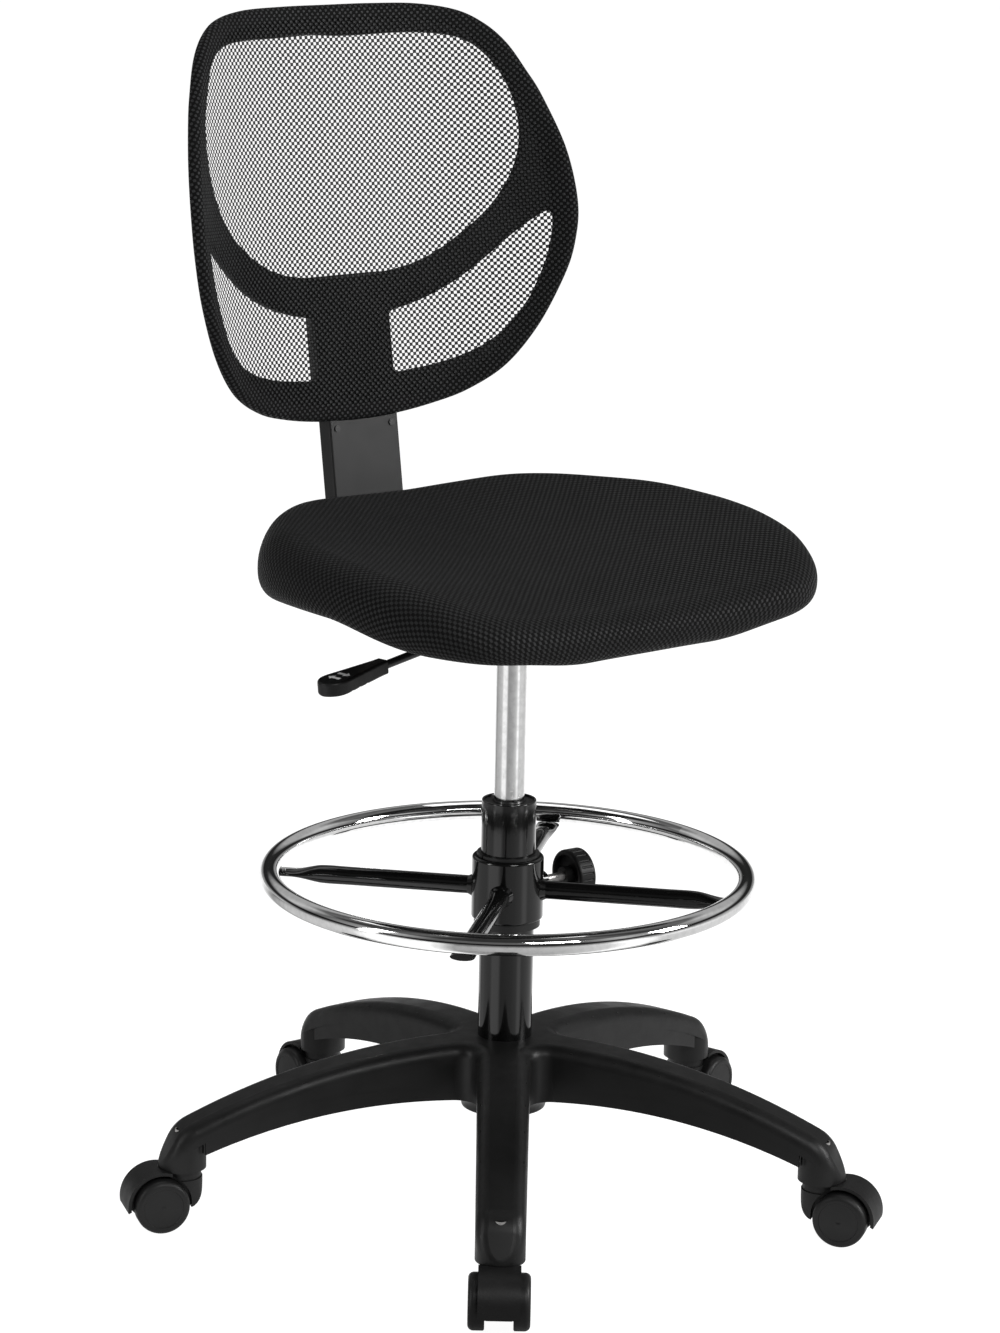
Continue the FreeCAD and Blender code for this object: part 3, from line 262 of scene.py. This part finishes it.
def moulded(name, level, roughness, grain=1500.0, depth=0.00012, strength=0.35):
    """Moulded plastic with a fine spark-eroded grain and slightly uneven gloss."""
    n = Nodes(name)
    blotch = n.noise(14.0, 4.0)
    tone = n.mix(n.remap(blotch, 0.3, 0.7, 0, 1), grey(level * 0.82), grey(level * 1.15))
    gloss = n.remap(n.noise(60.0, 5.0), 0.25, 0.75, roughness - 0.05, roughness + 0.06)
    n.set(Base_Color=tone, Roughness=gloss, Specular_IOR_Level=0.26)
    pits = n.math("MULTIPLY", n.cells(grain), 0.7)
    swells = n.math("MULTIPLY", n.noise(grain * 0.45), 0.6)
    n.bump(n.math("ADD", pits, swells), strength, depth)
    return n.material


def painted(name, level, roughness, coat):
    """Gloss or satin enamel over steel, with a little orange peel."""
    n = Nodes(name)
    tone = n.mix(n.noise(35.0), grey(level * 0.85), grey(level * 1.2))
    gloss = n.remap(n.noise(90.0, 4.0), 0.3, 0.7, roughness * 0.94, roughness * 1.08)
    n.set(Base_Color=tone, Roughness=gloss)
    n.set(Coat_Weight=coat, Coat_Roughness=0.05, Specular_IOR_Level=0.35)
    n.bump(n.noise(420.0, 2.0), 0.06, 0.0002)
    return n.material


def metal(name, level, roughness, grain=0.0, warm=0.0):
    """Bare or plated steel, with faint handling marks and, if asked, a turned grain."""
    n = Nodes(name)
    marks = n.noise(180.0, 6.0)
    tone = n.mix(n.remap(marks, 0.35, 0.7, 0, 1), grey(level, warm), grey(level * 0.9, warm))
    n.set(Base_Color=tone, Metallic=1.0)
    n.set(Roughness=n.remap(marks, 0.3, 0.75, roughness, roughness * 1.8 + 0.01))
    if grain:
        squeeze = n.add("ShaderNodeMapping", Vector=n.place(), Scale=(3.0, 3.0, 160.0))
        n.bump(n.noise(9.0, 3.0, squeeze.outputs[0]), grain, 0.0002)
    else:
        n.bump(n.noise(260.0, 2.0), 0.012, 0.0002)
    return n.material


def knit_field(n):
    """+1 in the middle of each hole of the staggered mesh and -1 on the yarn between."""
    split = n.add("ShaderNodeSeparateXYZ", Vector=n.tree.nodes.new("ShaderNodeUVMap").outputs[0])
    across = n.math("COSINE", n.math("MULTIPLY", split.outputs[0], 2 * math.pi / KNIT_X))
    up = n.math("COSINE", n.math("MULTIPLY", split.outputs[1], 2 * math.pi / KNIT_Y))
    return n.math("MULTIPLY", across, up), split


def knitted(name, level, see_through, open_edge, shine):
    """Black knitted spacer mesh. The yarn stands up round each hole.

    The field is above open_edge inside a hole, which is cut out if see_through is set."""
    n = Nodes(name)
    field, split = knit_field(n)
    wobble = n.math("MULTIPLY", n.math("SUBTRACT", n.noise(900.0, 2.0), 0.5), 0.35)
    field = n.math("ADD", field, wobble)
    twist = n.math("ADD", split.outputs[0], n.math("MULTIPLY", split.outputs[1], 0.6))
    strands = n.math("SINE", n.math("MULTIPLY", twist, 2 * math.pi / STRAND))
    yarn = n.remap(field, -0.55, open_edge, 1.0, 0.0)
    fibre = n.math("MULTIPLY", n.math("ADD", n.math("MULTIPLY", strands, 0.25), n.noise(2600.0, 2.0)), 0.3)
    worn = n.remap(n.noise(22.0, 4.0), 0.3, 0.7, 0.85, 1.15)
    # Painted light: the colour is painted near black in the holes as shade, and lighter on the yarn as
    # glints; the fibre and the uneven tone are the yarn's own.
    yarn_glint_and_hole_shade = n.math("MULTIPLY", n.math("ADD", yarn, fibre), worn)
    tone = n.mix(n.remap(yarn_glint_and_hole_shade, 0.1, 1.25, 0, 1), grey(level * 0.1), grey(level * 2.6, -0.03))
    n.set(Base_Color=tone, Roughness=n.remap(yarn, 0.0, 1.0, 0.9, 0.52), Specular_IOR_Level=shine)
    n.set(Sheen_Weight=0.01, Sheen_Roughness=0.45)
    n.bump(n.math("ADD", yarn, n.math("MULTIPLY", fibre, 0.5)), 0.6, 0.0011)
    if see_through:
        n.set(Alpha=n.remap(field, open_edge - 0.06, open_edge + 0.06, 1.0, 0.0))
    return n.material


def plywood(name):
    n = Nodes(name)
    stretch = n.add("ShaderNodeMapping", Vector=n.place(), Scale=(2.0, 18.0, 60.0))
    rings = n.noise(6.0, 6.0, stretch.outputs[0])
    n.set(Base_Color=n.mix(rings, (0.42, 0.28, 0.16, 1), (0.70, 0.54, 0.36, 1)), Roughness=0.7)
    n.bump(rings, 0.2, 0.0004)
    return n.material


def felt(name, level):
    n = Nodes(name)
    fuzz = n.noise(700.0, 6.0)
    n.set(Base_Color=n.mix(fuzz, grey(level * 0.6), grey(level * 1.6)), Roughness=0.95, Sheen_Weight=0.2)
    n.bump(fuzz, 0.5, 0.0005)
    return n.material


NYLON = moulded("base_nylon", 0.006, 0.42, grain=1300.0, depth=0.00010, strength=0.25)
CASTER = moulded("caster_plastic", 0.006, 0.45, grain=1000.0, depth=0.00016, strength=0.5)
WHEEL = moulded("wheel_tread", 0.008, 0.45, grain=1500.0, depth=0.00010, strength=0.35)
COVER = moulded("cover_plastic", 0.008, 0.4, grain=1600.0, depth=0.00006, strength=0.2)
BUSH = moulded("bush_plastic", 0.012, 0.4)
GLOSS = painted("gloss_enamel", 0.003, 0.12, 0.25)
SATIN = painted("satin_enamel", 0.007, 0.33, 0.05)
CHROME = metal("chrome_plate", 0.9, 0.035)
CYLINDER = metal("drawn_steel", 0.72, 0.12, grain=0.05)
STEEL = metal("zinc_steel", 0.5, 0.3, grain=0.1, warm=0.02)
SEAT_KNIT = knitted("seat_knit", 0.0042, see_through=False, open_edge=0.35, shine=0.17)
BACK_KNIT = knitted("back_knit", 0.009, see_through=True, open_edge=0.06, shine=0.16)
RIM_KNIT = knitted("rim_knit", 0.009, see_through=False, open_edge=0.06, shine=0.16)
FRAME_CORE = moulded("frame_core", 0.005, 0.6, grain=900.0)
WOOD = plywood("birch_ply")
FELT = felt("under_felt", 0.02)
WHITE_INK = moulded("icon_ink", 0.95, 0.5, grain=900.0, depth=0.00002)

NODE_LOOKS = {
    "star_base": NYLON, "caster_sockets": STEEL, "column_tube": GLOSS, "guide_bush": BUSH,
    "thrust_bearing": STEEL, "bump_washer": BUSH, "piston_rod": STEEL, "rod_clip": STEEL,
    "gas_cylinder": CYLINDER, "release_pin": STEEL, "ring_liner": BUSH, "ring_collar": GLOSS,
    "ring_spokes": GLOSS, "foot_ring": CHROME, "ring_knob": CASTER, "knob_stud": STEEL,
    "mechanism_plate": SATIN, "taper_socket": SATIN, "lever_rod": SATIN, "lever_grip": CASTER,
    "lever_pin": STEEL, "seat_board": WOOD, "seat_undercover": FELT, "seat_t_nuts": STEEL,
    "seat_bolts": STEEL, "back_bar": SATIN, "bar_bolts": STEEL, "bar_cover": COVER,
    "cover_screws": SATIN, "back_bolts": SATIN,
}
CASTER_LOOKS = {"stem": STEEL, "hood": CASTER, "axle": STEEL, "wheel_left": WHEEL, "wheel_right": WHEEL}


def dress_cad_nodes():
    looks = dict(NODE_LOOKS)
    for k in range(1, 6):
        for piece, look in CASTER_LOOKS.items():
            looks["caster_%d_%s" % (k, piece)] = look
    for name, look in looks.items():
        mesh = NODES[name].data
        mesh.materials.clear()
        mesh.materials.append(look)


# ---------------------------------------------------------------- seat

def seat_top(x, y):
    """The dished top, higher at the sides and the rear, rolling off at the front."""
    z = SEAT_TOP_Z + SEAT_SLOPE * (y + 0.06) + SEAT_SIDE_RISE * (x / 0.24) ** 2
    z = z - SEAT_FRONT_DROP * smooth_step((-0.10 - y) / 0.11) + SEAT_REAR_RISE * smooth_step(y / 0.17)
    return z + SEAT_CROWN * np.exp(-((x / 0.15) ** 2 + ((y + 0.02) / 0.12) ** 2))


def seat_foot(x, y):
    """Flat over the board, rising towards the sides and the rear, with a lip at the front."""
    side = smooth_step((np.abs(x) - 0.14) / 0.115) * (1 - 0.6 * smooth_step((-0.04 - y) / 0.10))
    lip = smooth_step((-0.12 - y) / 0.06) * (1 - smooth_step((np.abs(x) - 0.06) / 0.10))
    rear = smooth_step((y - 0.10) / 0.09)
    return SEAT_FOOT_Z + FOOT_SIDE_RISE * side + FOOT_REAR_RISE * rear - FOOT_LIP * lip


def make_seat():
    """The upholstered pad: top, rounded edge and foot, out of rings round its middle."""
    count = 320
    outline = loop_points(SEAT_OUTLINE, count)
    middle = np.array(SEAT_MIDDLE)
    spokes = outline - middle
    reach = np.linalg.norm(spokes, axis=1)
    spokes = spokes / reach[:, None]
    rings, distances = [], []

    def ring_at(inset):
        return middle + spokes * (reach - inset)[:, None]

    def add(flat, z):
        rings.append(np.column_stack([flat, z]))
        if len(rings) == 1:
            distances.append(np.linalg.norm(flat - middle, axis=1))
        else:
            distances.append(distances[-1] + np.linalg.norm(rings[-1] - rings[-2], axis=1))

    for share in np.linspace(0.02, 1.0, 44, endpoint=False):
        flat = middle + spokes * ((reach - SEAT_TOP_ROUND) * share)[:, None]
        add(flat, seat_top(*flat.T))
    edge_top = seat_top(*ring_at(SEAT_TOP_ROUND).T)
    edge_foot = seat_foot(*ring_at(SEAT_FOOT_ROUND).T)
    belly = edge_foot + SEAT_BELLY * (edge_top - edge_foot)
    for angle in np.radians(np.linspace(90, 0, 15)):
        inset = np.full(count, SEAT_TOP_ROUND * (1 - math.cos(angle) ** SEAT_ROUND_POWER))
        add(ring_at(inset), belly + (edge_top - belly) * math.sin(angle) ** SEAT_ROUND_POWER)
    for angle in np.radians(np.linspace(7, 90, 13)):
        inset = np.full(count, SEAT_FOOT_ROUND * (1 - math.cos(angle) ** SEAT_ROUND_POWER))
        add(ring_at(inset), belly - (belly - edge_foot) * math.sin(angle) ** SEAT_ROUND_POWER)
    pocket = reach * (1 - BOARD_SHARE)
    for share in np.linspace(0, 1, 8)[1:]:
        flat = ring_at(SEAT_FOOT_ROUND + (pocket - SEAT_FOOT_ROUND) * share)
        add(flat, np.maximum(seat_foot(*flat.T) + 0.0004, SEAT_FOOT_Z + 0.0004))
    flat = ring_at(pocket)
    add(flat, np.full(count, SEAT_FOOT_Z + BOARD_DEPTH))
    uvs = [spokes * d[:, None] for d in distances]
    seat = ring_mesh("seat_pad", rings, uvs, "seat", SEAT_KNIT, close_end=True)
    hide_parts("seat_cushion")
    return seat


# ---------------------------------------------------------------- back

def side_centre():
    """Where the tighter curve of the back's sides has its centre."""
    spare = MIDDLE_R - SIDE_R
    change = math.asin(CHANGE_X / MIDDLE_R)
    return spare * math.sin(change), spare * math.cos(change) - MIDDLE_R


def on_back(x, z, depth):
    """A point of the leaning, curved back: x across, z up along it, depth behind its front.

    Returns the point and how far it lies across, measured along the curve."""
    side = np.sign(x)
    wide = np.abs(x)
    change = math.asin(CHANGE_X / MIDDLE_R)
    centre_x, centre_y = side_centre()
    inner = wide <= CHANGE_X
    angle = np.where(inner, np.arcsin(np.clip(wide / MIDDLE_R, -1, 1)),
                     np.arcsin(np.clip((wide - centre_x) / SIDE_R, -1, 1)))
    radius = np.where(inner, MIDDLE_R, SIDE_R) + depth
    px = np.where(inner, 0, centre_x) + radius * np.sin(angle)
    py = np.where(inner, -MIDDLE_R, centre_y) + radius * np.cos(angle)
    along = np.where(inner, MIDDLE_R * angle, MIDDLE_R * change + SIDE_R * (angle - change))
    y = py * math.cos(RECLINE) + z * math.sin(RECLINE) + BACK_PLACE[0]
    up = -py * math.sin(RECLINE) + z * math.cos(RECLINE) + BACK_PLACE[1]
    return np.column_stack([side * px, y, up]), side * along


def rim_path():
    """How the cover goes round the rim: inset from the outline, depth, and length travelled."""
    edge_r = COVER_EDGE_R
    front, rear = -0.0002, FRAME_REAR + COVER_REAR_GAP
    corner = np.radians(np.linspace(15, 90, 6))
    path = [(edge_r - COVER_PROUD, front, 0.0)]
    for angle in corner:
        inset = edge_r - COVER_PROUD - edge_r * math.sin(angle)
        path.append((inset, edge_r * (1 - math.cos(angle)) + front, edge_r * angle))
    side_end = edge_r * math.pi / 2 + rear - 2 * edge_r
    path.append((-COVER_PROUD, rear - edge_r, side_end))
    for angle in corner:
        inset = edge_r * (1 - math.cos(angle)) - COVER_PROUD
        path.append((inset, rear - edge_r + edge_r * math.sin(angle), side_end + edge_r * angle))
    inset, depth, travelled = path[-1]
    for strip in (0.004, 0.008, 0.012):
        path.append((inset + strip, depth, travelled + strip))
    return path


def make_back_mesh():
    """The knitted cover: stretched over the front and pulled round the rim to the rear."""
    count = 384
    front_rings, rim_start = 60, 57
    outline = loop_points(BACK_OUTLINE, count)
    normals = loop_normals(outline)
    middle = np.array((0.0, -0.05))
    path = rim_path()
    rings, uvs = [], []

    def add(flat, depth, spare):
        points, across = on_back(flat[:, 0], flat[:, 1], depth)
        rings.append(points)
        uvs.append(np.column_stack([across, flat[:, 1]]) + normals * spare)

    first = outline - normals * path[0][0]
    for share in np.linspace(0.01, 1, front_rings, endpoint=False):
        add(middle + (first - middle) * share, path[0][1], 0.0)
    for inset, depth, travelled in path:
        spare = travelled + inset - path[0][0] if travelled else 0.0
        add(outline - normals * inset, depth, spare)
    cover = ring_mesh("back_mesh_cover", rings, uvs, "seat", BACK_KNIT)
    cover.data.materials.append(RIM_KNIT)
    for face in cover.data.polygons:
        if count * rim_start <= face.index < count * (len(rings) - 1):
            face.material_index = 1
    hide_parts("mesh_panel")
    return cover


def fan_walls(mesh):
    """Turn the frame's walls, which the CAD cuts straight to the rear, square to its curve."""
    count = len(mesh.vertices)
    flat = np.empty(count * 3)
    mesh.vertices.foreach_get("co", flat)
    x, y, up = flat.reshape(count, 3).T
    y, up = y - BACK_PLACE[0], up - BACK_PLACE[1]
    py = y * math.cos(RECLINE) - up * math.sin(RECLINE)
    z = y * math.sin(RECLINE) + up * math.cos(RECLINE)
    centre_x, centre_y = side_centre()
    inner = np.abs(x) <= CHANGE_X
    depth = np.where(inner, np.hypot(x, py + MIDDLE_R) - MIDDLE_R,
                     np.hypot(np.abs(x) - centre_x, py - centre_y) - SIDE_R)
    moved, _ = on_back(x, z, depth)
    mesh.vertices.foreach_set("co", moved.ravel())
    mesh.update()


def make_back_core():
    """The moulded frame with its edges rounded off."""
    source = NODES["back_frame"]
    core = source.copy()
    core.data = source.data.copy()
    core.name = "back_frame_core"
    core.parent = None
    for key in list(core.keys()):
        del core[key]
    core.data.materials.clear()
    place(core, "seat", FRAME_CORE)
    remesh = core.modifiers.new("round", "REMESH")
    remesh.mode = "VOXEL"
    remesh.voxel_size = CORE_VOXEL
    soften = core.modifiers.new("soften", "SMOOTH")
    soften.iterations = 5
    soften.factor = 0.5
    apply_modifiers(core)
    fan_walls(core.data)
    core.data.shade_smooth()
    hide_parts("back_frame")
    return core


def apply_modifiers(piece):
    bpy.context.view_layer.update()
    graph = bpy.context.evaluated_depsgraph_get()
    done = bpy.data.meshes.new_from_object(piece.evaluated_get(graph))
    piece.modifiers.clear()
    piece.data = done


# ---------------------------------------------------------------- lever icon

def make_lever_icon():
    """Printed up and down arrows on the lever's paddle."""
    arrow = [(0, 7.6), (4.4, 2.2), (1.7, 2.2), (1.7, -6.2), (-1.7, -6.2), (-1.7, 2.2), (-4.4, 2.2)]
    droop = Matrix.Rotation(math.radians(-PADDLE_DROOP), 4, "Y")
    turn = Matrix.Rotation(math.radians(LEVER_TURN), 4, "Z")
    paddle = turn @ Matrix.Translation(PADDLE_MIDDLE) @ droop
    vertices, faces = [], []
    for x, way in ((-22.0, 1), (-11.0, -1)):
        first = len(vertices)
        for z in (PADDLE_HALF - 0.05, PADDLE_HALF + 0.15):
            for a, b in arrow:
                vertices.append(paddle @ Vector(((x + a) * 0.001, b * way * 0.001, z * 0.001)))
        count = len(arrow)
        faces.append([first + count + k for k in range(count)])
        faces.append([first + k for k in reversed(range(count))])
        for k in range(count):
            after = (k + 1) % count
            faces.append([first + k, first + after, first + count + after, first + count + k])
    mesh = bpy.data.meshes.new("lever_icon")
    mesh.from_pydata(vertices, [], faces)
    return place(bpy.data.objects.new("lever_icon", mesh), "lever", WHITE_INK)


# ---------------------------------------------------------------- stage

def make_camera():
    data = bpy.data.cameras.new("camera")
    data.lens = CAMERA_LENS
    data.clip_end = 200.0
    camera = bpy.data.objects.new("camera", data)
    bpy.context.scene.collection.objects.link(camera)
    turn = Matrix.Rotation(math.radians(CAMERA_HEADING), 4, "Z")
    tilt = Matrix.Rotation(math.radians(CAMERA_TILT), 4, "X")
    roll = Matrix.Rotation(math.radians(CAMERA_ROLL), 4, "Z")
    camera.matrix_world = Matrix.Translation(CAMERA_PLACE) @ turn @ tilt @ roll
    bpy.context.scene.camera = camera


def make_light(name, place_at, target, size, power):
    data = bpy.data.lights.new(name, "AREA")
    data.shape = "RECTANGLE"
    data.size, data.size_y = size
    data.energy = power
    light = bpy.data.objects.new(name, data)
    bpy.context.scene.collection.objects.link(light)
    light.location = place_at
    light.rotation_euler = (Vector(target) - Vector(place_at)).to_track_quat("-Z", "Y").to_euler()


def azimuth_levels(tree, where, stops):
    """Brightness by compass direction: 0.5 is towards the photographer, growing anticlockwise."""
    split = tree.nodes.new("ShaderNodeSeparateXYZ")
    tree.links.new(where, split.inputs[0])
    turn = tree.nodes.new("ShaderNodeMath")
    turn.operation = "ARCTAN2"
    tree.links.new(split.outputs["Y"], turn.inputs[0])
    tree.links.new(split.outputs["X"], turn.inputs[1])
    share = tree.nodes.new("ShaderNodeMath")
    share.operation = "MULTIPLY_ADD"
    share.inputs[1].default_value = 1 / (2 * math.pi)
    share.inputs[2].default_value = 1.5 - STUDIO_TURN / 360.0
    tree.links.new(turn.outputs[0], share.inputs[0])
    wrap = tree.nodes.new("ShaderNodeMath")
    wrap.operation = "FRACT"
    tree.links.new(share.outputs[0], wrap.inputs[0])
    ramp = level_ramp(tree, stops)
    tree.links.new(wrap.outputs[0], ramp.inputs[0])
    return ramp.outputs[0], split.outputs["Z"]


def level_ramp(tree, stops):
    ramp = tree.nodes.new("ShaderNodeValToRGB")
    points = ramp.color_ramp.elements
    points[0].position, points[0].color = stops[0][0], grey(stops[0][1])
    points[1].position, points[1].color = stops[-1][0], grey(stops[-1][1])
    for position, level in stops[1:-1]:
        points.new(position).color = grey(level)
    return ramp


def make_stage():
    """A pale floor, whose reflections in the chair have bright and dark sectors, and the lights."""
    size = 60.0
    mesh = bpy.data.meshes.new("floor")
    corners = [(-size, -size, 0), (size, -size, 0), (size, size, 0), (-size, size, 0)]
    mesh.from_pydata(corners, [], [(0, 1, 2, 3)])
    floor = bpy.data.objects.new("floor", mesh)
    n = Nodes("pale_floor")
    sectors, _ = azimuth_levels(n.tree, n.place(), FLOOR_SECTORS)
    seen = n.tree.nodes.new("ShaderNodeLightPath").outputs["Is Camera Ray"]
    n.set(Base_Color=n.mix(n.noise(2.0), grey(0.28), grey(0.30)), Roughness=0.8, Specular_IOR_Level=0.1)
    n.set(Emission_Color=n.mix(seen, sectors, grey(0.97)), Emission_Strength=1.0)
    mesh.materials.append(n.material)
    bpy.context.scene.collection.objects.link(floor)
    bpy.context.scene.view_settings.view_transform = "Standard"
    make_world()
    for light in LIGHTS:
        make_light(*light)


def make_world():
    """White behind the chair, and a dim room with paler walls for everything it reflects."""
    world = bpy.data.worlds.new("studio")
    bpy.context.scene.world = world
    world.use_nodes = True
    tree = world.node_tree
    where = tree.nodes.new("ShaderNodeTexCoord").outputs["Generated"]
    walls, height = azimuth_levels(tree, where, WALL_SECTORS)
    rise = level_ramp(tree, WALL_HEIGHTS)
    tree.links.new(height, rise.inputs[0])
    both = tree.nodes.new("ShaderNodeMix")
    both.data_type = "RGBA"
    both.blend_type = "MULTIPLY"
    both.inputs[0].default_value = 1.0
    tree.links.new(walls, both.inputs[6])
    tree.links.new(rise.outputs[0], both.inputs[7])
    room = tree.nodes["Background"]
    tree.links.new(both.outputs[2], room.inputs["Color"])
    backdrop = tree.nodes.new("ShaderNodeBackground")
    backdrop.inputs["Color"].default_value = grey(1.0)
    ray = tree.nodes.new("ShaderNodeLightPath")
    either = tree.nodes.new("ShaderNodeMixShader")
    tree.links.new(ray.outputs["Is Camera Ray"], either.inputs[0])
    tree.links.new(room.outputs[0], either.inputs[1])
    tree.links.new(backdrop.outputs[0], either.inputs[2])
    tree.links.new(either.outputs[0], tree.nodes["World Output"].inputs["Surface"])


make_camera()
make_stage()
dress_cad_nodes()
make_seat()
make_back_core()
make_back_mesh()
make_lever_icon()
